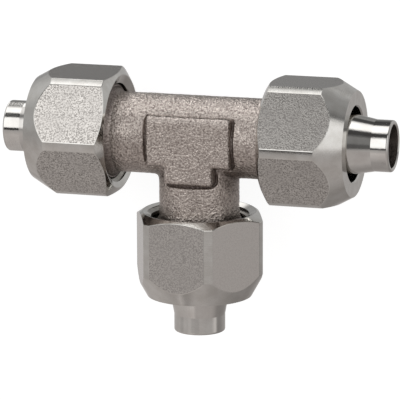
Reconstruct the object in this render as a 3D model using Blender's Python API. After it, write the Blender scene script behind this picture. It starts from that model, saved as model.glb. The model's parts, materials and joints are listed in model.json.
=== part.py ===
# Hose tee connector for soft 8 mm / 6 mm hose: one forged brass tee, nickel plated,
# with three turned hose ends, and a hexagon union nut screwed onto each end.
# It lies flat: the run is along X, the branch points to -Y and the marking pads face +Z and -Z.
# Units are metres, +Z is up, and the origin is under the middle of the whole fitting.

import bpy
import bmesh
from math import cos, pi, radians, sin, sqrt, tan
from mathutils import Matrix, Vector

MM = 0.001

# The hose that the fitting takes
HOSE_OUTER_RADIUS = 4.0 * MM
HOSE_INNER_RADIUS = 3.0 * MM

# Forged tee: distances run outward along an arm from the crossing of the axes
ARM_RADIUS = 4.7 * MM
ARM_LENGTH = 9.5 * MM
CROTCH_FILLET = 0.7 * MM
SHOULDER_LENGTH = 0.9 * MM

# Raised T-shaped pad on the front and the back, with a narrow groove round it
PAD_HEIGHT = 0.3 * MM
PAD_PAST_CROTCH = 0.4 * MM
PAD_INSET = 1.75 * MM
PAD_CORNER = 0.5 * MM
PAD_BEVEL = 0.35 * MM
PAD_ROOT = 0.3 * MM
GROOVE_WIDTH = 0.3 * MM
GROOVE_DEPTH = 0.2 * MM

# Turned hose end: thread, conical spigot, stem
THREAD_RADIUS = 5.45 * MM
THREAD_LENGTH = 5.1 * MM
THREAD_CHAMFER = 0.5 * MM
SPIGOT_LENGTH = 5.7 * MM
SPIGOT_TAPER = radians(10.5)
STEM_LENGTH = 2.06 * MM
STEM_WALL = 0.5 * MM
TIP_ROUND = 0.25 * MM
BORE_EDGE = 0.12 * MM

# Union nut: distances run outward from its mouth, the end that faces the tee
NUT_WALL = 1.25 * MM
NUT_BORE_LENGTH = 1.67 * MM
NUT_OVERHANG = 1.71 * MM
CORNER_TRIM = 0.273 * MM
MOUTH_CHAMFER_WIDTH = 1.13 * MM
MOUTH_CHAMFER_ANGLE = radians(29.8)
MOUTH_LAND = 0.1 * MM
COUNTERSINK_ANGLE = radians(27.0)
FRONT_CONE_ANGLE = radians(29.1)
FRONT_FACE_WIDTH = 1.79 * MM
FRONT_BORE_EDGE = 0.15 * MM
CLAMP_CONE_ANGLE = radians(45.0)

# Clearances
THREAD_CLEARANCE = 0.3 * MM
THREAD_END_CLEARANCE = 0.15 * MM
HOSE_CLEARANCE = 0.37 * MM

# How far each nut is turned, and how far it is backed off from the fully screwed-on place
LEFT_NUT_TURN = radians(25.1)
RIGHT_NUT_TURN = radians(29.4)
BRANCH_NUT_TURN = radians(54.0)
LEFT_NUT_BACKED_OFF = 0.85 * MM
RIGHT_NUT_BACKED_OFF = 0.0 * MM
BRANCH_NUT_BACKED_OFF = 0.22 * MM

# How far a cutter runs past the surface that it cuts
CUTTER_EXCESS = 1.0 * MM

# Smoothness of the round forms; the nut's count is a multiple of six
BODY_SEGMENTS = 48
NUT_SEGMENTS = 72
ROUND_STEPS = 3
FILLET_STEPS = 5
FILLET_RINGS = 6
FILLET_FADE = radians(82.0)
FILLET_SINK = 0.03 * MM
SMOOTH_LIMIT = radians(28.0)

# Worked out from the values above
PAD_REACH = ARM_RADIUS + PAD_PAST_CROTCH
PAD_HALF_WIDTH = ARM_RADIUS - PAD_INSET
THREAD_START = ARM_LENGTH + SHOULDER_LENGTH
THREAD_END = THREAD_START + THREAD_LENGTH
STEM_START = THREAD_END + SPIGOT_LENGTH
STEM_TIP = STEM_START + STEM_LENGTH
STEM_RADIUS = HOSE_INNER_RADIUS
BORE_RADIUS = STEM_RADIUS - STEM_WALL
SPIGOT_RADIUS = STEM_RADIUS + SPIGOT_LENGTH * tan(SPIGOT_TAPER)
NUT_MOUTH_PLACE = THREAD_START - NUT_OVERHANG
NUT_THREAD_RADIUS = THREAD_RADIUS + THREAD_CLEARANCE
NUT_ACROSS_FLATS = 2 * (NUT_THREAD_RADIUS + NUT_WALL)
NUT_CORNER_RADIUS = NUT_ACROSS_FLATS / 2 / cos(pi / 6) - CORNER_TRIM
NUT_BORE_RADIUS = HOSE_OUTER_RADIUS + HOSE_CLEARANCE
NUT_THREAD_DEPTH = THREAD_END - NUT_MOUTH_PLACE + THREAD_END_CLEARANCE
NUT_CLAMP_END = NUT_THREAD_DEPTH + (NUT_THREAD_RADIUS - NUT_BORE_RADIUS) / tan(CLAMP_CONE_ANGLE)
NUT_LENGTH = NUT_CLAMP_END + NUT_BORE_LENGTH

X_AXIS = Vector((1, 0, 0))
Y_AXIS = Vector((0, 1, 0))
Z_AXIS = Vector((0, 0, 1))


def clear_scene():
    for thing in list(bpy.data.objects):
        bpy.data.objects.remove(thing, do_unlink=True)


def nickel(name, color, roughness):
    material = bpy.data.materials.new(name)
    material.use_nodes = True
    shader = material.node_tree.nodes["Principled BSDF"]
    shader.inputs["Base Color"].default_value = (*color, 1.0)
    shader.inputs["Metallic"].default_value = 1.0
    shader.inputs["Roughness"].default_value = roughness
    return material


def add_object(name, bm):
    bmesh.ops.recalc_face_normals(bm, faces=bm.faces)
    mesh = bpy.data.meshes.new(name)
    bm.to_mesh(mesh)
    bm.free()
    thing = bpy.data.objects.new(name, mesh)
    bpy.context.collection.objects.link(thing)
    return thing


def turned(name, profile, segments):
    """Spins (radius, height) points about Z; the profile starts and ends on the axis."""
    bm = bmesh.new()
    points = [bm.verts.new((radius, 0, height)) for radius, height in profile]
    lines = [bm.edges.new(pair) for pair in zip(points, points[1:])]
    bmesh.ops.spin(bm, geom=points + lines, axis=Z_AXIS, cent=(0, 0, 0), angle=2 * pi,
                   steps=segments, use_merge=True)
    bmesh.ops.remove_doubles(bm, verts=bm.verts, dist=0.0001 * MM)
    return add_object(name, bm)


def hexagon(name, across_flats, low, high):
    """A hexagonal prism along Z with a flat facing +X."""
    corner = across_flats / 2 / cos(pi / 6)
    angles = [pi / 6 + step * pi / 3 for step in range(6)]
    bm = bmesh.new()
    base = bm.faces.new([bm.verts.new((corner * cos(a), corner * sin(a), low)) for a in angles])
    extrude_up(bm, base, high - low)
    return add_object(name, bm)


def extrude_up(bm, base, height):
    """Grows a lone face into a prism, of which it stays the bottom."""
    grown = bmesh.ops.extrude_face_region(bm, geom=[base])
    top = [item for item in grown["geom"] if isinstance(item, bmesh.types.BMVert)]
    bmesh.ops.translate(bm, verts=top, vec=Z_AXIS * height)


def t_prism(name, reach, half_width, low, high, corner, bevel):
    """A T-shaped block: its bar lies along X and its leg points to -Y."""
    outline = [(-reach, half_width), (-reach, -half_width), (-half_width, -half_width),
               (-half_width, -reach), (half_width, -reach), (half_width, -half_width),
               (reach, -half_width), (reach, half_width)]
    bm = bmesh.new()
    base = bm.faces.new([bm.verts.new((x, y, low)) for x, y in outline])
    extrude_up(bm, base, high - low)
    outer = [edge for edge in bm.edges if is_upright(edge) and is_outer_corner(edge, reach)]
    bmesh.ops.bevel(bm, geom=outer, offset=corner, offset_type="OFFSET", segments=ROUND_STEPS,
                    profile=0.5, affect="EDGES")
    if bevel:
        rim = [edge for edge in bm.edges if all(abs(v.co.z - high) < 0.01 * MM for v in edge.verts)]
        bmesh.ops.bevel(bm, geom=rim, offset=bevel, offset_type="OFFSET", segments=2,
                        profile=0.5, affect="EDGES", clamp_overlap=True)
    return add_object(name, bm)


def is_upright(edge):
    first, second = edge.verts
    return (first.co.xy - second.co.xy).length < 0.01 * MM


def is_outer_corner(edge, reach):
    corner = edge.verts[0].co
    return max(abs(corner.x), -corner.y) > reach - 0.01 * MM


def boolean(target, operation, tool):
    """Cuts, joins or intersects the target with a tool, which stays hidden as a cutter."""
    tool.hide_render = True
    tool.display_type = "WIRE"
    modifier = target.modifiers.new(operation.lower() + "_" + tool.name, "BOOLEAN")
    modifier.operation = operation
    modifier.solver = "EXACT"
    modifier.object = tool


def settle(thing):
    """Replaces the object's mesh with the result of its modifiers."""
    bpy.context.view_layer.update()
    evaluated = thing.evaluated_get(bpy.context.evaluated_depsgraph_get())
    thing.data = bpy.data.meshes.new_from_object(evaluated)
    thing.modifiers.clear()


def finish(mesh, material):
    mesh.materials.clear()
    mesh.materials.append(material)
    mesh.shade_smooth()
    mesh.set_sharp_from_angle(angle=SMOOTH_LIMIT)


def round_over(radius, height, size):
    """Quarter-round points from a cylinder of this radius onto its flat end."""
    centre = Vector((radius - size, height - size))
    angles = [pi / 2 * step / ROUND_STEPS for step in range(ROUND_STEPS + 1)]
    return [(centre.x + size * cos(a), centre.y + size * sin(a)) for a in angles]


def hose_end_profile():
    """Outline of one arm from the tee outward, as (radius, distance) points."""
    return [(ARM_RADIUS, ARM_LENGTH),
            (THREAD_RADIUS, THREAD_START),
            (THREAD_RADIUS, THREAD_END - THREAD_CHAMFER),
            (THREAD_RADIUS - THREAD_CHAMFER, THREAD_END),
            (SPIGOT_RADIUS, THREAD_END),
            (STEM_RADIUS, STEM_START),
            *round_over(STEM_RADIUS, STEM_TIP, TIP_ROUND),
            (0, STEM_TIP)]


def lay_along_run(thing):
    thing.data.transform(Matrix.Rotation(pi / 2, 4, "Y"))
    return thing


def lay_along_branch(thing):
    """Lays a turned form along -Y, its facets half a step round from the run's."""
    half_step = Matrix.Rotation(pi / BODY_SEGMENTS, 4, "Z")
    thing.data.transform(Matrix.Rotation(pi / 2, 4, "X") @ half_step)
    return thing


def run_solid():
    end = hose_end_profile()
    other_end = [(radius, -distance) for radius, distance in reversed(end)]
    return lay_along_run(turned("run", other_end + end, BODY_SEGMENTS))


def branch_start(radius):
    """The hidden inner end of a branch, tapered so that it stays inside the run."""
    return [(0, 0), (radius * 0.85, 0), (radius, radius * 0.13)]


def branch_solid():
    profile = branch_start(ARM_RADIUS) + hose_end_profile()
    return lay_along_branch(turned("branch", profile, BODY_SEGMENTS))


def crotch_fillet(side):
    """The rounded inner corner between run and branch, which fades out towards the pads.

    At each height the two arms meet in a square corner, so each ring is the web that a round
    of that height's radius leaves there, with its ends sunk into the arms.
    """
    pad_foot = sqrt(ARM_RADIUS ** 2 - PAD_HALF_WIDTH ** 2)
    bm = bmesh.new()
    rings = []
    for step in range(-FILLET_RINGS, FILLET_RINGS + 1):
        lean = step / FILLET_RINGS * FILLET_FADE
        height = pad_foot * sin(lean)
        corner = sqrt(ARM_RADIUS ** 2 - height ** 2)
        radius = CROTCH_FILLET * cos(lean)
        centre = corner + radius
        web = [(corner - radius, corner - radius)]
        for arc_step in range(FILLET_STEPS + 1):
            angle = pi / 2 * arc_step / FILLET_STEPS
            web.append((centre - (radius + FILLET_SINK) * sin(angle),
                        centre - (radius + FILLET_SINK) * cos(angle)))
        rings.append([bm.verts.new((side * x, -y, height)) for x, y in web])
    for lower, upper in zip(rings, rings[1:]):
        for index in range(len(lower)):
            after = (index + 1) % len(lower)
            bm.faces.new((lower[index], lower[after], upper[after], upper[index]))
    bm.faces.new(rings[0])
    bm.faces.new(rings[-1])
    return add_object("left_fillet" if side < 0 else "right_fillet", bm)


def groove_cores():
    """The two arms again, smaller by the groove's depth, which bound its floor."""
    core = ARM_RADIUS - GROOVE_DEPTH
    outer_end = [(core, ARM_LENGTH), (0, ARM_LENGTH)]
    inner_end = [(radius, -distance) for radius, distance in reversed(outer_end)]
    run = turned("run_core", inner_end + outer_end, BODY_SEGMENTS)
    branch = turned("branch_core", branch_start(core) + outer_end, BODY_SEGMENTS)
    return lay_along_run(run), lay_along_branch(branch)


def pad_tools():
    """Groove cutters and pads for the front, then for the back."""
    top = ARM_RADIUS + PAD_HEIGHT
    groove_reach = PAD_REACH + GROOVE_WIDTH
    groove_half_width = PAD_HALF_WIDTH + GROOVE_WIDTH
    low = sqrt((ARM_RADIUS - GROOVE_DEPTH) ** 2 - groove_half_width ** 2) - PAD_ROOT
    cores = groove_cores()
    tools = []
    for side in ("front", "back"):
        groove = t_prism(side + "_groove", groove_reach, groove_half_width, low, top,
                         PAD_CORNER + GROOVE_WIDTH, 0)
        pad = t_prism(side + "_pad", PAD_REACH, PAD_HALF_WIDTH, low, top, PAD_CORNER, PAD_BEVEL)
        if side == "back":
            for tool in (groove, pad):
                tool.data.transform(Matrix.Scale(-1, 4, Z_AXIS))
                tool.data.flip_normals()
        for core in cores:
            boolean(groove, "DIFFERENCE", core)
        tools.append((groove, pad))
    return tools


def run_bore():
    mouth = BORE_RADIUS + BORE_EDGE
    outer = [(BORE_RADIUS, STEM_TIP - BORE_EDGE), (mouth, STEM_TIP),
             (mouth, STEM_TIP + CUTTER_EXCESS), (0, STEM_TIP + CUTTER_EXCESS)]
    inner = [(radius, -distance) for radius, distance in reversed(outer)]
    return lay_along_run(turned("run_bore", inner + outer, BODY_SEGMENTS))


def branch_bore():
    """A drilled hole with a drill's point, which ends inside the run's bore."""
    mouth = BORE_RADIUS + BORE_EDGE
    drill_shoulder = 0.2 * BORE_RADIUS
    drill_point = drill_shoulder - BORE_RADIUS / tan(radians(59))
    profile = [(0, drill_point), (BORE_RADIUS, drill_shoulder),
               (BORE_RADIUS, STEM_TIP - BORE_EDGE), (mouth, STEM_TIP),
               (mouth, STEM_TIP + CUTTER_EXCESS), (0, STEM_TIP + CUTTER_EXCESS)]
    return lay_along_branch(turned("branch_bore", profile, BODY_SEGMENTS))


def build_tee(root):
    tee = run_solid()
    tee.name = "tee_body"
    boolean(tee, "UNION", branch_solid())
    for side in (-1, 1):
        boolean(tee, "UNION", crotch_fillet(side))
    for groove, pad in pad_tools():
        boolean(tee, "DIFFERENCE", groove)
        boolean(tee, "UNION", pad)
    boolean(tee, "DIFFERENCE", run_bore())
    boolean(tee, "DIFFERENCE", branch_bore())
    settle(tee)
    finish(tee.data, nickel("blasted_nickel", (0.27, 0.24, 0.235), 0.45))
    tee.parent = root
    return tee


def nut_blank():
    """The nut's outside as it comes off the lathe, before its hollow is cut."""
    rim = NUT_CORNER_RADIUS - MOUTH_CHAMFER_WIDTH
    chamfer_end = MOUTH_CHAMFER_WIDTH * tan(MOUTH_CHAMFER_ANGLE)
    face = NUT_BORE_RADIUS + FRONT_FACE_WIDTH
    cone_start = NUT_LENGTH - (NUT_CORNER_RADIUS - face) / tan(FRONT_CONE_ANGLE)
    profile = [(0, 0), (rim, 0), (NUT_CORNER_RADIUS, chamfer_end),
               (NUT_CORNER_RADIUS, cone_start), (face, NUT_LENGTH), (0, NUT_LENGTH)]
    return turned("nut_blank", profile, NUT_SEGMENTS)


def nut_hollow():
    """Countersink, thread bore, the cone that clamps the hose, and the hole it passes through."""
    rim = NUT_CORNER_RADIUS - MOUTH_CHAMFER_WIDTH - MOUTH_LAND
    countersink = (rim - NUT_THREAD_RADIUS) * tan(COUNTERSINK_ANGLE)
    edge = NUT_BORE_RADIUS + FRONT_BORE_EDGE
    before = -CUTTER_EXCESS
    beyond = NUT_LENGTH + CUTTER_EXCESS
    profile = [(0, before), (rim - before / tan(COUNTERSINK_ANGLE), before),
               (NUT_THREAD_RADIUS, countersink), (NUT_THREAD_RADIUS, NUT_THREAD_DEPTH),
               (NUT_BORE_RADIUS, NUT_CLAMP_END), (NUT_BORE_RADIUS, NUT_LENGTH - FRONT_BORE_EDGE),
               (edge, NUT_LENGTH), (edge, beyond), (0, beyond)]
    return turned("nut_hollow", profile, NUT_SEGMENTS)


def build_nut_mesh():
    nut = nut_blank()
    boolean(nut, "INTERSECT", hexagon("nut_flats", NUT_ACROSS_FLATS, -CUTTER_EXCESS,
                                      NUT_LENGTH + CUTTER_EXCESS))
    boolean(nut, "DIFFERENCE", nut_hollow())
    settle(nut)
    mesh = nut.data
    mesh.name = "union_nut"
    bpy.data.objects.remove(nut, do_unlink=True)
    finish(mesh, nickel("turned_nickel", (0.38, 0.37, 0.35), 0.3))
    return mesh


def place_nut(name, mesh, root, outward, turn_towards, turn, backed_off):
    """Puts a nut on its arm: its axis outward, one flat turned away from +Z by an angle."""
    flat_normal = Z_AXIS * cos(turn) + turn_towards * sin(turn)
    side = outward.cross(flat_normal)
    frame = Matrix((flat_normal, side, outward)).transposed().to_4x4()
    nut = bpy.data.objects.new(name, mesh)
    bpy.context.collection.objects.link(nut)
    nut.parent = root
    nut.location = outward * (NUT_MOUTH_PLACE + backed_off)
    nut.rotation_euler = frame.to_euler()
    return nut


def stand_on_ground(root, pieces):
    """Moves the whole fitting so that the origin is under the middle of its box."""
    bpy.context.view_layer.update()
    points = [piece.matrix_world @ vert.co for piece in pieces for vert in piece.data.vertices]
    low = Vector([min(point[axis] for point in points) for axis in range(3)])
    high = Vector([max(point[axis] for point in points) for axis in range(3)])
    root.location = -Vector(((low.x + high.x) / 2, (low.y + high.y) / 2, low.z))


clear_scene()
centre = bpy.data.objects.new("tee_centre", None)
bpy.context.collection.objects.link(centre)
body = build_tee(centre)
nut_mesh = build_nut_mesh()
nuts = [place_nut("left_nut", nut_mesh, centre, -X_AXIS, Y_AXIS, LEFT_NUT_TURN, LEFT_NUT_BACKED_OFF),
        place_nut("right_nut", nut_mesh, centre, X_AXIS, Y_AXIS, RIGHT_NUT_TURN, RIGHT_NUT_BACKED_OFF),
        place_nut("branch_nut", nut_mesh, centre, -Y_AXIS, X_AXIS, BRANCH_NUT_TURN,
                  BRANCH_NUT_BACKED_OFF)]
stand_on_ground(centre, [body] + nuts)
bpy.context.view_layer.update()
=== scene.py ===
# Looks of a nickel-plated brass hose tee: a shot-blasted forging with bright turned hose ends
# and three hexagon union nuts, lying on a white table in a soft studio tent.
import json
from math import atan2, cos, hypot, pi, radians, sin, tan

import bmesh
import bpy
from mathutils import Matrix, Vector, noise


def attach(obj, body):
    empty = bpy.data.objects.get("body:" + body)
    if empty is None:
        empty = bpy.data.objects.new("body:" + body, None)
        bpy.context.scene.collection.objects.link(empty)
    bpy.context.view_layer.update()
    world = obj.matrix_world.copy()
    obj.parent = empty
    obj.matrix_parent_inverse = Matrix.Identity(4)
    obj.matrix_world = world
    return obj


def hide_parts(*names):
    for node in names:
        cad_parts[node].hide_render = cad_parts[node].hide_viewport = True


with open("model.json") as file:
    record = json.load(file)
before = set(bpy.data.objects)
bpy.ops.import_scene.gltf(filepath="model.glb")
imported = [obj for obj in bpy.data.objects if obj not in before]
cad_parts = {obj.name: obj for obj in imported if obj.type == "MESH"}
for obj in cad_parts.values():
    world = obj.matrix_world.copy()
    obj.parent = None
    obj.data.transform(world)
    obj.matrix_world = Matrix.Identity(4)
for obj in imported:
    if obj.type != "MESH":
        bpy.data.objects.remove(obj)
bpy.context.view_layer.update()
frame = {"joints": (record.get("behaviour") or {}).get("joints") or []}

# Shapes are made in millimetres round Z and scaled down when they are put in place
toMetres = 0.001
near = 0.01  # millimetres that count as touching
mergeDistance = 0.0001  # millimetres within which points become one
cutterReach = 1  # millimetres that a cutter sticks out of what it cuts
xAxis, yAxis, zAxis = Vector((1, 0, 0)), Vector((0, 1, 0)), Vector((0, 0, 1))
nutPlaces = {joint["child"]: Vector(joint["pos_m"]) for joint in frame["joints"]}
crossing = Vector((nutPlaces["branch_union"].x, nutPlaces["right_union"].y, nutPlaces["right_union"].z))

# The order of the materials on a piece, where plain is the tee's forged skin or a nut's drawn flats
plainSlot, turnedSlot, threadSlot, boreSlot = range(4)

# The thread that the hose ends and the nuts share
thread = {
    "pitch": 1.0,
    "crest": 5.45,
    "depth": 0.5,
    "nutCrest": 5.66,
    "rootHalf": 0.06,  # half the flat at the bottom of the groove
    "past": 0.05,  # the groove's cutter sticks out of the crest by this much
    "stepsPerTurn": 60,
}


def linear(hexColor):  # by the sRGB curve, with full alpha
    channels = [int(hexColor[start:start + 2], 16) / 255 for start in (1, 3, 5)]
    return (*[c / 12.92 if c <= 0.04045 else ((c + 0.055) / 1.055) ** 2.4 for c in channels], 1.0)


def addNode(tree, kind, inputs=None, **settings):
    node = tree.nodes.new("ShaderNode" + kind)
    for key, value in settings.items():
        setattr(node, key, value)
    for key, value in (inputs or {}).items():
        if isinstance(value, bpy.types.NodeSocket):
            tree.links.new(value, node.inputs[key])
        else:
            node.inputs[key].default_value = value
    return node


# Mesh work shared by the pieces

def newObject(name, bm):
    mesh = bpy.data.meshes.new(name)
    bm.to_mesh(mesh)
    bm.free()
    thing = bpy.data.objects.new(name, mesh)
    bpy.context.scene.collection.objects.link(thing)
    return thing


def closedObject(name, bm):
    bmesh.ops.remove_doubles(bm, verts=bm.verts, dist=mergeDistance)
    bmesh.ops.recalc_face_normals(bm, faces=bm.faces)
    return newObject(name, bm)


def lathe(name, profile, steps):  # profile is (radius, height), from the axis back to the axis
    bm = bmesh.new()
    points = [bm.verts.new((radius, 0, height)) for radius, height in profile]
    lines = [bm.edges.new(pair) for pair in zip(points, points[1:])]
    bmesh.ops.spin(bm, geom=points + lines, axis=zAxis, cent=(0, 0, 0), angle=2 * pi, steps=steps,
                   use_merge=True)
    return closedObject(name, bm)


def helix(name, profile, start, end):  # a ridge of this closed profile that climbs one pitch a turn
    turns = (end - start) / thread["pitch"]
    steps = round(turns * thread["stepsPerTurn"])
    bm = bmesh.new()
    ring = bm.faces.new([bm.verts.new((radius, 0, start + height)) for radius, height in profile])
    bmesh.ops.spin(bm, geom=[*bm.verts, *bm.edges, ring], axis=zAxis, cent=(0, 0, 0),
                   dvec=zAxis * ((end - start) / steps), angle=2 * pi * turns, steps=steps)
    return closedObject(name, bm)


def settle(thing):  # the mesh takes on what its modifiers made of it
    bpy.context.view_layer.update()
    shaped = thing.evaluated_get(bpy.context.evaluated_depsgraph_get())
    thing.data = bpy.data.meshes.new_from_object(shaped)
    thing.modifiers.clear()


def combine(target, operation, tool):
    modifier = target.modifiers.new("combine", "BOOLEAN")
    modifier.operation = operation
    modifier.solver = "EXACT"
    modifier.object = tool
    settle(target)
    bpy.data.objects.remove(tool, do_unlink=True)


def joinMeshes(name, things):
    bm = bmesh.new()
    for thing in things:
        bm.from_mesh(thing.data)
        bpy.data.objects.remove(thing, do_unlink=True)
    return newObject(name, bm)


def smoothVerts(bm, verts, rounds):
    for step in range(rounds):
        bmesh.ops.smooth_vert(bm, verts=verts, factor=0.5,
                              use_axis_x=True, use_axis_y=True, use_axis_z=True)


def finishPiece(piece, placement, materials, values):
    mesh = piece.data
    mesh.transform(placement @ Matrix.Scale(toMetres, 4))
    for material in materials:
        mesh.materials.append(material)
    mesh.shade_smooth()
    mesh.set_sharp_from_angle(angle=radians(values["sharpAngle"]))
    turnedSharp = radians(values["turnedSharpAngle"])
    bm = bmesh.new()
    bm.from_mesh(mesh)
    openEdges = sum(1 for edge in bm.edges if not edge.is_manifold)
    for edge in bm.edges:  # the corners of turned and milled forms are crisp, however slight
        kinds = [face.material_index for face in edge.link_faces]
        isCorner = len(kinds) == 2 and edge.calc_face_angle(0) > turnedSharp
        if isCorner and (kinds[0] != kinds[1] or kinds[0] == turnedSlot):
            edge.smooth = False
    bm.to_mesh(mesh)
    bm.free()
    print(piece.name, "triangles", sum(len(face.vertices) - 2 for face in mesh.polygons),
          "open edges", openEdges)


# Materials. Object coordinates are metres, and each pattern is scaled per millimetre

def newMetal(name):
    material = bpy.data.materials.new(name)
    material.use_nodes = True
    tree = material.node_tree
    shader = tree.nodes["Principled BSDF"]
    shader.inputs["Metallic"].default_value = 1.0
    place = addNode(tree, "TexCoord").outputs["Object"]
    inMillimetres = addNode(tree, "Mapping", {"Vector": place, "Scale": (1 / toMetres,) * 3}).outputs[0]
    return material, tree, shader, inMillimetres


def bump(tree, height, peak, before=None):  # peak is in millimetres
    inputs = {"Height": height, "Strength": 1.0, "Distance": peak * toMetres}
    if before:
        inputs["Normal"] = before
    return addNode(tree, "Bump", inputs).outputs["Normal"]


def mixColors(tree, amount, low, high):
    return addNode(tree, "Mix", {0: amount, 6: low, 7: high}, data_type="RGBA").outputs[2]


def mapped(tree, value, low, high, toLow=0.0, toHigh=1.0):
    return addNode(tree, "MapRange", {"Value": value, "From Min": low, "From Max": high,
                                      "To Min": toLow, "To Max": toHigh}).outputs[0]


def noiseValue(tree, place, scale, detail, roughness=0.5):  # scale is per millimetre
    return addNode(tree, "TexNoise", {"Vector": place, "Scale": scale, "Detail": detail,
                                      "Roughness": roughness}).outputs["Fac"]


# In a look, a pair of numbers is the two ends of one range

blastedLook = {
    "peak": "#d9cfc7",
    "pit": "#8e837e",
    "stain": "#6b5f5a",  # in broad faint patches
    "stained": 0.2,
    "hollow": "#5f5551",  # painted shade in the groove round the pad, in the crotch and at the shoulder's foot, with residue in the groove
    "grain": 0.22,  # millimetres across one dimple of the blasting, coarse enough to show
    "grainDetail": 1.5,
    "grainRoughness": 0.6,
    "grainHeight": 0.104,
    "pitToPeak": (0.32, 0.68),
    "dullToBright": (0.3, 0.7),
    "roughness": (0.42, 0.27),
    "waviness": 1.8,
    "wavinessDetail": 3.0,
    "wavinessHeight": 0.05,
    "cleanToStained": (0.58, 0.34),
}


def blastedNickel():  # shot-blasted before plating: a dimpled, sparkling grey-brown grain
    material, tree, shader, place = newMetal("blastedNickel")
    look = blastedLook
    grain = noiseValue(tree, place, 1 / look["grain"], look["grainDetail"], look["grainRoughness"])
    waves = noiseValue(tree, place, 1 / look["waviness"], look["wavinessDetail"])
    amount = mapped(tree, grain, *look["pitToPeak"])
    clean = mixColors(tree, amount, linear(look["pit"]), linear(look["peak"]))
    patches = mapped(tree, waves, *look["cleanToStained"], 0, look["stained"])
    stained = mixColors(tree, patches, clean, linear(look["stain"]))
    # the hollow attribute paints shade into the groove, the crotch and the shoulder's foot, and residue
    # into the groove
    hollow = addNode(tree, "Attribute", attribute_name="hollow").outputs["Fac"]
    tree.links.new(mixColors(tree, hollow, stained, linear(look["hollow"])), shader.inputs["Base Color"])
    tree.links.new(mapped(tree, grain, *look["dullToBright"], *look["roughness"]),
                   shader.inputs["Roughness"])
    broad = bump(tree, waves, look["wavinessHeight"])
    tree.links.new(bump(tree, grain, look["grainHeight"], broad), shader.inputs["Normal"])
    return material


turnedMarks = {  # how each turned finish varies: the cloud and the ripple are per millimetre
    "lineDetail": 3.0,
    "lineRoughness": 0.7,
    "lineSpread": (0.3, 0.7),
    "cloud": 0.7,
    "cloudDetail": 3.0,
    "cloudSpread": (0.35, 0.65),
    "ripple": 5.0,
    "rippleDetail": 1.0,
}

turnedLook = {
    "plating": "#d2d0cc",
    "shade": "#c6c3be",
    "lines": 0.16,  # millimetres between tool marks, a few of them drawn as one
    "lineHeight": 0.004,
    "rippleHeight": 0.0032,
    "roughness": (0.07, 0.13),
}

hoseEndLook = {  # finer turning, nearly a mirror
    "plating": "#d4d2ce",
    "shade": "#cbc8c4",
    "lines": 0.16,
    "lineHeight": 0.0014,
    "rippleHeight": 0.0034,
    "roughness": (0.03, 0.07),
}

drilledLook = {  # inside the bore: rough drill marks, and much darker than the plating outside
    "plating": "#7a726c",
    "shade": "#4f4944",
    "lines": 0.2,
    "lineHeight": 0.02,
    "rippleHeight": 0.016,
    "roughness": (0.35, 0.6),
}


def turnedNickel(name, look):  # turned on a lathe, then plated: satin, with fine rings round the axis
    material, tree, shader, place = newMetal(name)
    marks = turnedMarks
    alongCut = addNode(tree, "Attribute", attribute_name="alongCut").outputs["Fac"]
    rings = addNode(tree, "TexNoise", {
        "W": alongCut, "Scale": 1 / look["lines"], "Detail": marks["lineDetail"],
        "Roughness": marks["lineRoughness"]}, noise_dimensions="1D").outputs["Fac"]
    cloud = noiseValue(tree, place, marks["cloud"], marks["cloudDetail"])
    ripple = noiseValue(tree, place, marks["ripple"], marks["rippleDetail"])
    tree.links.new(mixColors(tree, mapped(tree, cloud, *marks["cloudSpread"]), linear(look["shade"]),
                             linear(look["plating"])), shader.inputs["Base Color"])
    tree.links.new(mapped(tree, rings, *marks["lineSpread"], *look["roughness"]),
                   shader.inputs["Roughness"])
    ringed = bump(tree, rings, look["lineHeight"])
    tree.links.new(bump(tree, ripple, look["rippleHeight"], ringed), shader.inputs["Normal"])
    return material


barLook = {
    "plating": "#d3cfca",
    "pit": "#8d8985",
    "calm": "#b8b4b0",  # where a flat has no speckle
    "grain": 0.17,  # millimetres between the small pits of the drawn bar under its plating
    "grainDetail": 1.0,
    "grainRoughness": 0.55,
    "grainHeight": 0.003,
    "pits": (0.36, 0.58),
    "cloud": 0.35,
    "cloudDetail": 3.0,
    "cloudSpread": (0.35, 0.65),
    "leastSpeckle": 0.5,
    "roughness": (0.3, 0.2),
}


def barNickel():  # the drawn bar's own flats, plated: a fine speckle of small dull pits
    material, tree, shader, place = newMetal("barNickel")
    look = barLook
    grain = noiseValue(tree, place, 1 / look["grain"], look["grainDetail"], look["grainRoughness"])
    unpitted = mapped(tree, grain, *look["pits"])
    speckled = mixColors(tree, unpitted, linear(look["pit"]), linear(look["plating"]))
    cloud = noiseValue(tree, place, look["cloud"], look["cloudDetail"])
    speckle = addNode(tree, "Attribute", attribute_name="speckle").outputs["Fac"]
    clouded = mapped(tree, cloud, *look["cloudSpread"], look["leastSpeckle"])
    amount = addNode(tree, "Math", {0: speckle, 1: clouded}, operation="MULTIPLY").outputs[0]
    tree.links.new(mixColors(tree, amount, linear(look["calm"]), speckled), shader.inputs["Base Color"])
    surface = addNode(tree, "Mix", {0: amount, 2: 1.0, 3: unpitted}).outputs[0]
    tree.links.new(mapped(tree, surface, 0, 1, *look["roughness"]), shader.inputs["Roughness"])
    tree.links.new(bump(tree, surface, look["grainHeight"]), shader.inputs["Normal"])
    return material


# the cut thread: a duller grey than the other turned plating, made darker still as painted shade in the
# nut's mouth
threadLook = {
    "plating": "#a29e98",
    "shade": "#827e78",
    "lines": 0.1,
    "lineHeight": 0.003,
    "rippleHeight": 0.0024,
    "roughness": (0.2, 0.32),
}

blasted = blastedNickel()
turned = turnedNickel("turnedNickel", turnedLook)
hoseEnd = turnedNickel("polishedNickel", hoseEndLook)
drilled = turnedNickel("drilledNickel", drilledLook)
threadWithPaintedShade = turnedNickel("threadNickelWithPaintedShade", threadLook)
bar = barNickel()
print("materials ready")


# Tee: distances run outward along an arm from the crossing of the axes

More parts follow.
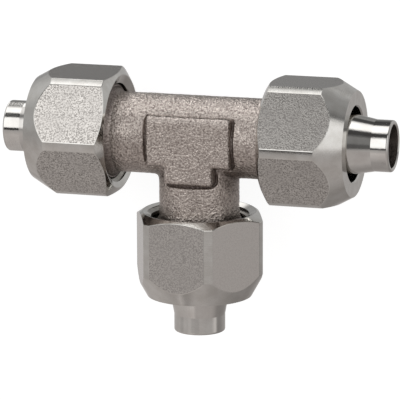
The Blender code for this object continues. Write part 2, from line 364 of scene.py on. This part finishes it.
tee = {
    "armRadius": 4.7,
    "armLength": 9.5,
    "forgedSteps": 96,
    "rootTaper": (0.85, 0.13),  # how the branch's hidden start tapers, as parts of its radius
    "coreInset": 0.4,  # the core under the groove ends this far before the arm does
    "crotch": (3.2, 0.75, 3.9),  # how far down the branch, how wide and how high the crotch is blended
    "crotchRounds": 60,
    "skinRounds": 3,
    "skinSink": 0.02,  # the relief as a whole lies this much lower
    "shoulderEnd": 10.4,
    "shoulderInset": 0.08,  # keeps the forging's end inside the turned one
    "endOverlap": 0.12,  # the turned end starts this far inside the forging
    "threadEnd": 15.5,
    "threadChamfer": 0.5,
    "grooveHalf": 0.44,  # half the thread groove's width, in pitches
    "threadRunout": 0.6,
    "threadLeadIn": 0.6,
    "spigotRadius": 4.056,
    "stemStart": 21.2,
    "stemRadius": 3.0,
    "stemTip": 23.26,
    "tipRound": 0.25,
    "tipSteps": 5,
    "boreRadius": 2.5,
    "boreEdge": 0.12,
    "boreSteps": 72,
    "drillPoint": (-1.0, 0.5),  # where the branch's drill stopped: its point and its full width
    "padReach": 5.1,
    "padHalfWidth": 2.95,
    "padStart": 2.6,
    "padTop": 5.0,
    "padCorner": 0.5,
    "padCornerSteps": 6,
    "padBevel": 0.4,
    "padBevelSteps": 4,
    "padCrown": (0.6, 0.06),  # its rim falls away over this width, by this much
    "padBrow": (0.85, 0.3),  # and more along the side away from the branch
    "padSkin": (0.2, 0.05),  # what counts as pad: this far below the arm's top, this far past its edge
    "relief": [(1.7, 0.03), (0.26, 0.03)],  # size and height of the forging's unevenness and its grain
    "reliefInset": 0.25,  # the relief ends this far before the shoulder's end
    "reliefFade": 0.5,
    "grooveWidth": 0.3,
    "grooveWidthTop": 0.16,
    "grooveDepth": 0.32,
    "grooveCutTop": 6,
    "groovePaintedShadeAndResidue": (0.1, 0.2, 0.6),  # painted shade with residue in the groove: from this depth on, within this much more, this far past the pad
    "crotchPaintedShade": (0.6, 2, 4.5),  # painted shade in the crotch: strength, how far down the branch and how high
    "shoulderPaintedShade": (0.7, 9.1),  # painted shade at the shoulder's foot by the nut: strength and start
    "voxel": 0.114,
    "boreMargin": 0.02,  # this and the next two tell the finishes apart
    "threadMargin": 0.05,
    "turnedMargin": 0.1,
    "turnedSteps": 120,
    "sharpAngle": 24,
    "turnedSharpAngle": 8,
}


def alongRun(thing):
    thing.data.transform(Matrix.Rotation(pi / 2, 4, "Y"))
    return thing


def alongBranch(thing):
    thing.data.transform(Matrix.Rotation(pi / 2, 4, "X"))
    return thing


def roundedEnd(radius, height, size, steps):
    angles = [pi / 2 * step / steps for step in range(steps + 1)]
    return [(radius - size + size * cos(a), height - size + size * sin(a)) for a in angles]


def mirrored(profile):
    return [(radius, -height) for radius, height in reversed(profile)]


def branchRoot(radius):  # the branch's hidden start, which stays inside the run
    inner, rise = tee["rootTaper"]
    return [(0, 0), (radius * inner, 0), (radius, radius * rise)]


def padPrism(name, outset, outsetTop, low, high, bevel):  # the T of the marking pad, on both faces
    reach = tee["padReach"] + outset
    half = tee["padHalfWidth"] + outset
    brow = tee["padHalfWidth"] + outsetTop
    outline = [(-reach, brow), (-reach, -half), (-half, -half), (-half, -reach), (half, -reach),
               (half, -half), (reach, -half), (reach, brow)]
    bm = bmesh.new()
    base = bm.faces.new([bm.verts.new((x, y, low)) for x, y in outline])
    grown = bmesh.ops.extrude_face_region(bm, geom=[base])["geom"]
    lifted = [item for item in grown if isinstance(item, bmesh.types.BMVert)]
    bmesh.ops.translate(bm, verts=lifted, vec=zAxis * (high - low))
    corners = [edge for edge in bm.edges if abs(edge.verts[0].co.z - edge.verts[1].co.z) > near
               and max(abs(edge.verts[0].co.x), -edge.verts[0].co.y) > reach - near]
    bmesh.ops.bevel(bm, geom=corners, offset=tee["padCorner"] + outset, offset_type="OFFSET",
                    segments=tee["padCornerSteps"], profile=0.5, affect="EDGES", material=-1)
    if bevel:
        rim = [edge for edge in bm.edges if all(abs(vert.co.z - high) < near for vert in edge.verts)]
        bmesh.ops.bevel(bm, geom=rim, offset=bevel, offset_type="OFFSET",
                        segments=tee["padBevelSteps"], profile=0.5, affect="EDGES", material=-1)
    copied = bmesh.ops.duplicate(bm, geom=[*bm.verts, *bm.edges, *bm.faces])["geom"]
    below = [item for item in copied if isinstance(item, bmesh.types.BMVert)]
    bmesh.ops.scale(bm, verts=below, vec=(1, 1, -1))
    return closedObject(name, bm)


def insidePad(point):  # how far inside the pad's outline a point is
    reach, half = tee["padReach"], tee["padHalfWidth"]
    crossbar = min(reach - abs(point.x), half - abs(point.y))
    leg = min(half - abs(point.x), half - point.y, point.y + reach)
    return max(crossbar, leg)


def armPlace(point):  # how far out along its arm a point is, and how far from the arm's axis
    if -point.y > abs(point.x):
        return -point.y, hypot(point.x, point.z)
    return abs(point.x), hypot(point.y, point.z)


def offCrotch(point):  # how far a point is from the mitre between the run and the branch
    return abs(abs(point.x) + point.y)


def forgedCentre():
    arm = [(tee["armRadius"], tee["armLength"]),
           (thread["crest"] - tee["shoulderInset"], tee["shoulderEnd"]), (0, tee["shoulderEnd"])]
    steps = tee["forgedSteps"]
    skin = alongRun(lathe("run", mirrored(arm) + arm, steps))
    combine(skin, "UNION", alongBranch(lathe("branch", branchRoot(tee["armRadius"]) + arm, steps)))
    combine(skin, "DIFFERENCE", padPrism("groove", tee["grooveWidth"], tee["grooveWidthTop"],
                                         tee["padStart"], tee["grooveCutTop"], 0))
    inner = tee["armRadius"] - tee["grooveDepth"]
    coreEnd = tee["armLength"] - tee["coreInset"]
    core = [(inner, coreEnd), (0, coreEnd)]
    forged = joinMeshes("tee", [
        skin,
        alongRun(lathe("runCore", mirrored(core) + core, steps)),
        alongBranch(lathe("branchCore", branchRoot(inner) + core, steps)),
        padPrism("pad", 0, 0, tee["padStart"], tee["padTop"], tee["padBevel"])])
    remesh = forged.modifiers.new("forge", "REMESH")
    remesh.mode = "VOXEL"
    remesh.voxel_size = tee["voxel"]
    settle(forged)
    print("forging faces", len(forged.data.polygons))
    return forged


def softenForging(forged):  # blends the crotch, lowers the pad's rim and gives the skin its relief
    past, wide, high = tee["crotch"]
    below, beside = tee["padSkin"]
    reliefEnd = tee["shoulderEnd"] - tee["reliefInset"]
    bm = bmesh.new()
    bm.from_mesh(forged.data)
    inCrotch = [vert for vert in bm.verts
                if vert.co.y < -past and offCrotch(vert.co) < wide and abs(vert.co.z) < high]
    smoothVerts(bm, inCrotch, tee["crotchRounds"])
    forgedPart = [vert for vert in bm.verts if armPlace(vert.co)[0] < reliefEnd]
    smoothVerts(bm, forgedPart, tee["skinRounds"])
    bm.normal_update()
    for vert in forgedPart:
        if abs(vert.co.z) > tee["armRadius"] - below and insidePad(vert.co) > -beside:
            for (width, fall), inside in ((tee["padCrown"], insidePad(vert.co)),
                                          (tee["padBrow"], tee["padHalfWidth"] - vert.co.y)):
                vert.co.z -= fall * max(0, 1 - max(0, inside) / width) ** 2 * (1 if vert.co.z > 0 else -1)
        fade = min(1, (reliefEnd - armPlace(vert.co)[0]) / tee["reliefFade"])
        relief = sum(height * noise.noise(vert.co / size) for size, height in tee["relief"])
        vert.co += vert.normal * fade * (relief - tee["skinSink"])
    bm.to_mesh(forged.data)
    bm.free()


def turnedEnd():  # thread, cone for the hose and stem, from inside the forging outward
    start = tee["shoulderEnd"] - tee["endOverlap"]
    tip = roundedEnd(tee["stemRadius"], tee["stemTip"], tee["tipRound"], tee["tipSteps"])
    return [(0, start), (thread["crest"], start),
            (thread["crest"], tee["threadEnd"] - tee["threadChamfer"]),
            (thread["crest"] - tee["threadChamfer"], tee["threadEnd"]),
            (tee["spigotRadius"], tee["threadEnd"]),
            (tee["stemRadius"], tee["stemStart"]), *tip, (0, tee["stemTip"])]


def screwedEnd(name):
    end = lathe(name, turnedEnd(), tee["turnedSteps"])
    half = thread["pitch"] * tee["grooveHalf"]
    root, outer = thread["crest"] - thread["depth"], thread["crest"] + thread["past"]
    groove = [(root, -thread["rootHalf"]), (root, thread["rootHalf"]), (outer, half), (outer, -half)]
    combine(end, "DIFFERENCE", helix("threadCut", groove, tee["shoulderEnd"] + tee["threadRunout"],
                                     tee["threadEnd"] + tee["threadLeadIn"]))
    return end


def bore(name, inner, mirror):
    radius, edge, tip = tee["boreRadius"], tee["boreEdge"], tee["stemTip"]
    outer = [(radius, tip - edge), (radius + edge, tip), (radius + edge, tip + cutterReach),
             (0, tip + cutterReach)]
    return lathe(name, (mirrored(outer) if mirror else inner) + outer, tee["boreSteps"])


def paintedShadeAndResidue(point, distance):  # painted shade: how dark the groove, the crotch and the shoulder's foot are made, with residue in the groove as well
    inRun, inBranch = hypot(point.y, point.z), hypot(point.x, point.z)
    depth = tee["armRadius"] - (min(inRun, inBranch) if point.y < 0 else inRun)
    start, width, reach = tee["groovePaintedShadeAndResidue"]
    groove = min(1, max(0, depth - start) / width) if distance < tee["padReach"] + reach else 0
    strength, past, high = tee["crotchPaintedShade"]
    inCrotch = point.y < -past and abs(point.z) < high
    crotch = strength * (1 - offCrotch(point)) if inCrotch else 0
    most, foot = tee["shoulderPaintedShade"]
    return max(groove, crotch, min(most, distance - foot))


def teeSlot(distance, across):
    if across < tee["boreRadius"] + tee["boreMargin"] and distance < tee["stemTip"] - tee["boreMargin"]:
        return boreSlot
    if tee["shoulderEnd"] < distance < tee["threadEnd"] - tee["threadMargin"]:
        return threadSlot
    return turnedSlot if distance > tee["shoulderEnd"] - tee["turnedMargin"] else plainSlot


def buildTee():
    piece = forgedCentre()
    softenForging(piece)
    print("forging ready")
    right, left = alongRun(screwedEnd("rightEnd")), alongRun(screwedEnd("leftEnd"))
    left.data.transform(Matrix.Rotation(pi, 4, "Z"))
    for end in (right, left, alongBranch(screwedEnd("branchEnd"))):
        combine(piece, "UNION", end)
    combine(piece, "DIFFERENCE", alongRun(bore("runBore", [], True)))
    tip, full = tee["drillPoint"]
    drillPoint = [(0, tip), (tee["boreRadius"], full)]
    combine(piece, "DIFFERENCE", alongBranch(bore("branchBore", drillPoint, False)))
    mesh = piece.data
    alongCut = mesh.attributes.new("alongCut", "FLOAT", "POINT")
    # hollow holds painted shade for the groove, the crotch and the shoulder's foot, and residue in the
    # groove
    hollow = mesh.attributes.new("hollow", "FLOAT", "POINT")
    for vert in mesh.vertices:
        distance, across = armPlace(vert.co)
        alongCut.data[vert.index].value = distance - across
        hollow.data[vert.index].value = paintedShadeAndResidue(vert.co, distance)
    for face in mesh.polygons:
        face.material_index = teeSlot(*armPlace(face.center))
    finishPiece(piece, Matrix.Translation(crossing), [blasted, hoseEnd, threadWithPaintedShade, drilled], tee)
    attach(piece, "tee")
    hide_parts("tee_body")


buildTee()
print("tee ready")


# Union nuts: distances run outward from the mouth, the end that faces the tee

nut = {
    "acrossFlats": 14.0,
    "cornerRadius": 7.805,
    "length": 10.01,
    "rimRadius": 6.68,
    "mouthChamferAngle": 33.0,
    "mouthLand": 0.1,
    "countersinkAngle": 27.0,
    "threadDepth": 6.96,
    "grooveHalf": 0.42,  # half the thread groove's width, in pitches
    "threadLeadIn": 1.2,
    "threadRunout": 0.6,
    "threadFrom": 0.9,  # the thread's own finish starts at this part of the countersink's depth
    "threadMargin": 0.02,
    "crestMargin": 0.1,
    "boreRadius": 4.37,
    "boreEdge": 0.15,
    "faceRadius": 6.16,
    "frontConeAngle": 29.1,
    "edgeBreak": 0.07,
    "edgesFrom": 0.1,  # only edges this far outside the rim are broken
    "cutTolerance": 0.00001,
    "flatAlignment": 0.9999,  # a face this nearly square to a flat's direction belongs to the flat
    "turnedSteps": 180,
    "sharpAngle": 18,
    "turnedSharpAngle": 6,
    "turns": {"left_nut": 25.1, "right_nut": 29.4, "branch_nut": 54.0},  # from the front to the first flat
    "speckle": {  # how pitted each of the six flats is, from the first one on round the axis
        "left_nut": (1.0, 0.25, 0.6, 0.8, 0.8, 1.0),
        "right_nut": (0.95, 1.0, 0.8, 0.7, 0.7, 0.2),
        "branch_nut": (0.1, 0.6, 0.2, 0.4, 0.3, 0.2),
    },
}

flatDirections = [Vector((cos(side * pi / 3), sin(side * pi / 3), 0)) for side in range(6)]


def hexagonNut():
    rim, corner, length, face = nut["rimRadius"], nut["cornerRadius"], nut["length"], nut["faceRadius"]
    chamferEnd = (corner - rim) * tan(radians(nut["mouthChamferAngle"]))
    coneStart = length - (corner - face) / tan(radians(nut["frontConeAngle"]))
    blank = lathe("nut", [(0, 0), (rim, 0), (corner, chamferEnd), (corner, coneStart), (face, length),
                          (0, length)], nut["turnedSteps"])
    bm = bmesh.new()
    bm.from_mesh(blank.data)
    for outward in flatDirections:  # mills one flat, then closes it
        cut = bmesh.ops.bisect_plane(bm, geom=[*bm.verts, *bm.edges, *bm.faces], dist=nut["cutTolerance"],
                                     plane_co=outward * nut["acrossFlats"] / 2, plane_no=outward,
                                     clear_outer=True)["geom_cut"]
        cutEdges = [item for item in cut if isinstance(item, bmesh.types.BMEdge)]
        bmesh.ops.edgenet_fill(bm, edges=cutEdges)
    corners = [edge for edge in bm.edges if edge.calc_face_angle(0) > radians(nut["turnedSharpAngle"])
               and min(hypot(vert.co.x, vert.co.y) for vert in edge.verts) > rim + nut["edgesFrom"]]
    bmesh.ops.bevel(bm, geom=corners, offset=nut["edgeBreak"], offset_type="OFFSET", segments=1,
                    profile=0.5, affect="EDGES", material=-1, clamp_overlap=True)
    bm.to_mesh(blank.data)
    bm.free()
    crest, depth = thread["nutCrest"], nut["threadDepth"]
    countersink = (rim - nut["mouthLand"] - crest) * tan(radians(nut["countersinkAngle"]))
    outside = rim - nut["mouthLand"] + cutterReach / tan(radians(nut["countersinkAngle"]))
    hole, edge = nut["boreRadius"], nut["boreEdge"]
    clampEnd = depth + crest - hole
    combine(blank, "DIFFERENCE", lathe("hollow", [
        (0, -cutterReach), (outside, -cutterReach), (crest, countersink), (crest, depth),
        (hole, clampEnd), (hole, length - edge), (hole + edge, length),
        (hole + edge, length + cutterReach), (0, length + cutterReach)], nut["turnedSteps"]))
    half = thread["pitch"] * nut["grooveHalf"]
    root, inner = crest + thread["depth"], crest - thread["past"]
    groove = [(inner, -half), (inner, half), (root, thread["rootHalf"]), (root, -thread["rootHalf"])]
    combine(blank, "DIFFERENCE", helix("threadCut", groove, -nut["threadLeadIn"],
                                       depth - nut["threadRunout"]))
    mesh = blank.data
    alongCut = mesh.attributes.new("alongCut", "FLOAT", "POINT")
    for vert in mesh.vertices:
        alongCut.data[vert.index].value = vert.co.z - hypot(vert.co.x, vert.co.y)
    for polygon in mesh.polygons:
        across = hypot(polygon.center.x, polygon.center.y)
        facing = max(polygon.normal.dot(outward) for outward in flatDirections)
        isFlat = facing > nut["flatAlignment"] and across > root + nut["threadMargin"]
        inThread = crest - nut["crestMargin"] < across < root + nut["threadMargin"] \
            and countersink * nut["threadFrom"] < polygon.center.z < depth
        polygon.material_index = plainSlot if isFlat else threadSlot if inThread else turnedSlot
    return blank


def placeNut(shape, node, body, outward, towards):
    piece = bpy.data.objects.new(node + "Turned", shape.data.copy())
    bpy.context.scene.collection.objects.link(piece)
    speckle = piece.data.attributes.new("speckle", "FLOAT", "POINT")
    for vert in piece.data.vertices:
        side = round(atan2(vert.co.y, vert.co.x) / (pi / 3)) % 6
        speckle.data[vert.index].value = nut["speckle"][node][side]
    turn = radians(nut["turns"][node])
    flat = zAxis * cos(turn) + towards * sin(turn)
    standing = Matrix((flat, outward.cross(flat), outward)).transposed().to_4x4()
    finishPiece(piece, Matrix.Translation(nutPlaces[body]) @ standing, [bar, turned, threadWithPaintedShade], nut)
    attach(piece, body)
    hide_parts(node)


nutShape = hexagonNut()
placeNut(nutShape, "left_nut", "left_union", -xAxis, yAxis)
placeNut(nutShape, "right_nut", "right_union", xAxis, yAxis)
placeNut(nutShape, "branch_nut", "branch_union", -yAxis, xAxis)
bpy.data.objects.remove(nutShape, do_unlink=True)
print("nuts ready")


# Camera: a long lens above the pad, a little towards the far side and the right

view = {
    "azimuth": 16.92219,
    "elevation": 11.16585,
    "roll": -0.18778,
    "distance": 401.624,
    "pixelsPerMillimetre": 8.60261,
    "crossingPixel": (199.174, 135.501),
    "pictureSize": 400,
    "sensor": 36.0,
    "clip": (0.01, 10),
}


def towardsCamera():
    around, up = radians(view["azimuth"]), radians(view["elevation"])
    return Vector((sin(around) * cos(up), sin(up), cos(around) * cos(up)))


def addCamera():
    back = towardsCamera()
    right = Vector((cos(radians(view["azimuth"])), 0, -sin(radians(view["azimuth"]))))
    upward = back.cross(right)
    roll = radians(view["roll"])
    right, upward = right * cos(roll) + upward * sin(roll), upward * cos(roll) - right * sin(roll)
    focal = view["pixelsPerMillimetre"] * view["distance"]  # in pixels
    middle = view["pictureSize"] / 2
    aim = (right * (middle - view["crossingPixel"][0]) / focal
           + upward * (view["crossingPixel"][1] - middle) / focal - back).normalized()
    sideways = (right - aim * right.dot(aim)).normalized()
    camera = bpy.data.objects.new("camera", bpy.data.cameras.new("camera"))
    camera.data.sensor_width = view["sensor"]
    camera.data.lens = focal / view["pictureSize"] * view["sensor"]
    camera.data.clip_start, camera.data.clip_end = view["clip"]
    axes = Matrix((sideways, sideways.cross(aim), -aim)).transposed().to_4x4()
    camera.matrix_world = Matrix.Translation(crossing + back * view["distance"] * toMetres) @ axes
    bpy.context.scene.collection.objects.link(camera)
    bpy.context.scene.camera = camera


# Table and light tent

tent = {
    "tilt": 11.2,  # degrees from straight up to the middle of the tent's bands, towards +Y
    "brightest": 6.0,
    # each column starts across these two values of the direction's X, and lists (degrees, strength)
    # round the X axis from -180 to 180
    "columns": [
        (None, [
            (-180, 0.52), (-80, 0.53), (-68, 0.48), (-60, 0.47), (-46, 0.45), (-36, 0.43), (-26, 0.47),
            (0, 0.5), (90, 0.54), (100, 0.64), (135, 0.64), (150, 0.55), (180, 0.52)]),
        ((-0.92, -0.8), [
            (-180, 0.54), (-110, 0.54), (-60, 0.55), (-45, 0.58), (-34, 0.54), (-27, 0.52), (-18, 0.4),
            (-12, 0.8), (-6, 1.3), (30, 1.25), (36, 0.84), (42, 0.37), (50, 0.2), (60, 0.33), (68, 0.7),
            (96, 0.72), (125, 0.65), (145, 0.5), (156, 0.6), (180, 0.54)]),
        ((-0.66, -0.54), [
            (-180, 0.7), (-150, 0.42), (-120, 0.42), (-60, 0.56), (-38, 0.64), (-30, 0.58), (-23, 0.56),
            (-18, 0.3), (-12, 0.9), (-8, 1.5), (0, 1.62), (26, 1.62), (31, 1.3), (38, 0.5), (50, 0.4),
            (55, 0.9), (60, 1.5), (90, 1.3), (100, 1.0), (106, 1.7), (126, 1.7), (134, 0.4), (160, 0.35),
            (180, 0.7)]),
        ((-0.47, -0.45), [  # seen mainly by the forging, whose rough skin spreads it
            (-180, 0.7), (-150, 0.42), (-120, 0.42), (-60, 0.56), (-38, 0.64), (-30, 0.58), (-23, 0.56),
            (-18, 0.3), (-12, 0.9), (-8, 1.5), (0, 1.62), (26, 1.62), (31, 1.3), (38, 0.8), (50, 1.0),
            (58, 1.8), (72, 1.8), (84, 1.2), (92, 0.6), (108, 0.6), (114, 6.0), (130, 6.0), (136, 0.4),
            (160, 0.35), (180, 0.7)]),
        ((-0.38, -0.365), [  # seen mainly by the left hose end
            (-180, 0.6), (-150, 0.48), (-130, 0.55), (-84, 0.62), (-45, 0.66), (-28, 0.54), (-24, 0.48),
            (-21, 0.04), (-12, 0.04), (-10.5, 0.9), (-9, 1.5), (0, 1.6), (33, 1.6), (36, 0.8), (39, 0.1),
            (55, 0.08), (59, 1.1), (62, 1.7), (84, 1.7), (92, 1.0), (98, 0.42), (118, 0.42), (130, 0.3),
            (145, 0.25), (160, 0.4), (180, 0.6)]),
        ((-0.331, -0.326), [
            (-180, 0.6), (-150, 0.43), (-130, 0.45), (-84, 0.49), (-45, 0.62), (-28, 0.52), (-22.5, 0.47),
            (-20, 0.06), (-13, 0.06), (-11, 0.9), (-9, 1.45), (0, 1.5), (31, 1.48), (35, 1.0), (39, 0.2),
            (53, 0.2), (59, 1.2), (62, 1.7), (72, 1.98), (84, 1.7), (89, 1.1), (97, 0.9), (103, 0.8),
            (108, 1.7), (126, 1.7), (134, 0.35), (145, 0.25), (160, 0.4), (180, 0.6)]),
        ((-0.268, -0.2655), [
            (-180, 0.58), (-150, 0.42), (-120, 0.38), (-84, 0.39), (-50, 0.63), (-38, 0.68),
            (-32, 0.58), (-27, 0.52), (-22.5, 0.45), (-18, 0.07), (-15, 0.08), (-12, 1.0), (-8, 1.45),
            (0, 1.6), (25, 1.6), (29, 1.25), (33, 0.7), (37, 0.08), (50, 0.05), (55, 0.6), (59, 1.4),
            (68, 1.95), (84, 1.8), (94, 1.45), (98, 0.5), (101, 0.1), (124, 0.06), (134, 0.14),
            (148, 0.22), (170, 0.5), (180, 0.58)]),
        ((-0.2, 0.0), [
            (-180, 0.5), (-168, 0.36), (-150, 0.32), (-120, 0.35), (-96, 0.44), (-84, 0.52), (-60, 0.53),
            (-44, 0.5), (-26, 0.49), (-21, 0.38), (-16, 0.13), (-4, 0.13), (4, 0.25), (26, 0.27),
            (33, 0.14), (40, 0.07), (53, 0.08), (58, 0.8), (62, 1.55), (72, 1.75), (88, 1.6), (94, 1.2),
            (98, 0.5), (102, 0.1), (116, 0.07), (121, 0.2), (127, 0.5), (140, 0.48), (165, 0.5),
            (180, 0.5)]),
        ((0.18, 0.3), [
            (-180, 0.45), (-168, 0.32), (-150, 0.3), (-120, 0.33), (-96, 0.42), (-75, 0.5), (-50, 0.5),
            (-30, 0.5), (-22, 0.6), (-12, 1.0), (-4, 1.1), (38, 1.18), (45, 1.1), (51, 0.85), (55, 0.4),
            (60, 0.19), (66, 0.27), (74, 0.35), (100, 0.39), (110, 0.48), (118, 0.6), (150, 0.62),
            (168, 0.5), (180, 0.45)]),
        ((0.92, 0.965), [
            (-180, 0.4), (-140, 0.4), (-118, 0.68), (-100, 0.74), (-60, 0.58), (0, 0.7), (100, 0.6),
            (140, 0.5), (180, 0.4)]),
    ],
    "white": (1.0, 1.0, 1.0, 1.0),
    "warmBelow": (1.0, 0.945, 0.925, 1.0),
    "warmFade": (0.1, -0.4),  # the direction's Y where the warm tint starts and where it is full
    "tableSize": 3,
    "tableWhite": 0.9,
    "tableUnseen": "#e8e8e8",  # what rays other than the camera's get from the paper
    "shadow": 0.25,
}


def addTable():
    bm = bmesh.new()
    bmesh.ops.create_grid(bm, x_segments=1, y_segments=1, size=tent["tableSize"])
    table = newObject("table", bm)
    material = bpy.data.materials.new("tablePaper")
    material.use_nodes = True
    tree = material.node_tree
    tree.nodes.remove(tree.nodes["Principled BSDF"])
    paper = addNode(tree, "BsdfDiffuse", {"Color": (tent["shadow"],) * 3 + (1,)}).outputs[0]
    glow = addNode(tree, "Emission", {"Color": tent["white"], "Strength": tent["tableWhite"]}).outputs[0]
    seen = addNode(tree, "AddShader", {0: paper, 1: glow}).outputs[0]
    unseen = addNode(tree, "BsdfDiffuse", {"Color": linear(tent["tableUnseen"])}).outputs[0]
    isCamera = addNode(tree, "LightPath").outputs["Is Camera Ray"]
    either = addNode(tree, "MixShader", {0: isCamera, 1: unseen, 2: seen}).outputs[0]
    tree.links.new(either, tree.nodes["Material Output"].inputs["Surface"])
    table.data.materials.append(material)
    table.visible_glossy = False  # the metal mirrors the tent, not the paper


def addColumn(tree, place, bands):  # one column's strength; place goes from 0 to 1 round the X axis
    ramp = addNode(tree, "ValToRGB", {"Fac": place})
    stops = ramp.color_ramp.elements
    stops.remove(stops[1])
    for degrees, strength in bands:
        position = (degrees + 180) / 360
        stop = stops.new(position) if position else stops[0]
        stop.position = position
        stop.color = (*[strength / tent["brightest"]] * 3, 1)
    strengths = {0: ramp.outputs[0], 1: tent["brightest"]}
    return addNode(tree, "Math", strengths, operation="MULTIPLY").outputs[0]


def addTent():
    world = bpy.data.worlds.new("tent")
    bpy.context.scene.world = world
    world.use_nodes = True
    tree = world.node_tree
    direction = addNode(tree, "TexCoord").outputs["Generated"]
    parts = addNode(tree, "SeparateXYZ", {0: direction}).outputs
    angle = addNode(tree, "Math", {0: parts["Y"], 1: parts["Z"]}, operation="ARCTAN2").outputs[0]
    turn = addNode(tree, "Math", {0: angle, 1: 0.5 / pi, 2: 0.5 - tent["tilt"] / 360},
                   operation="MULTIPLY_ADD").outputs[0]
    wrapped = addNode(tree, "Math", {0: turn}, operation="FRACT").outputs[0]
    lit = None
    for start, bands in tent["columns"]:
        column = addColumn(tree, wrapped, bands)
        if lit:
            side = {"Value": parts["X"], "From Min": start[0], "From Max": start[1]}
            inside = addNode(tree, "MapRange", side, interpolation_type="SMOOTHSTEP").outputs[0]
            column = addNode(tree, "Mix", {0: inside, 2: lit, 3: column}).outputs[0]
        lit = column
    isCamera = addNode(tree, "LightPath").outputs["Is Camera Ray"]
    strength = addNode(tree, "Mix", {0: isCamera, 2: lit, 3: 1.0}).outputs[0]
    background = tree.nodes["Background"]
    tree.links.new(strength, background.inputs["Strength"])
    below = mapped(tree, parts["Y"], *tent["warmFade"])
    warm = mixColors(tree, below, tent["white"], tent["warmBelow"])
    tree.links.new(mixColors(tree, isCamera, warm, tent["white"]), background.inputs["Color"])
    tree.links.new(background.outputs[0], tree.nodes["World Output"].inputs["Surface"])


addCamera()
addTable()
addTent()
bpy.context.scene.view_settings.view_transform = "Standard"
print("camera, table and tent ready")
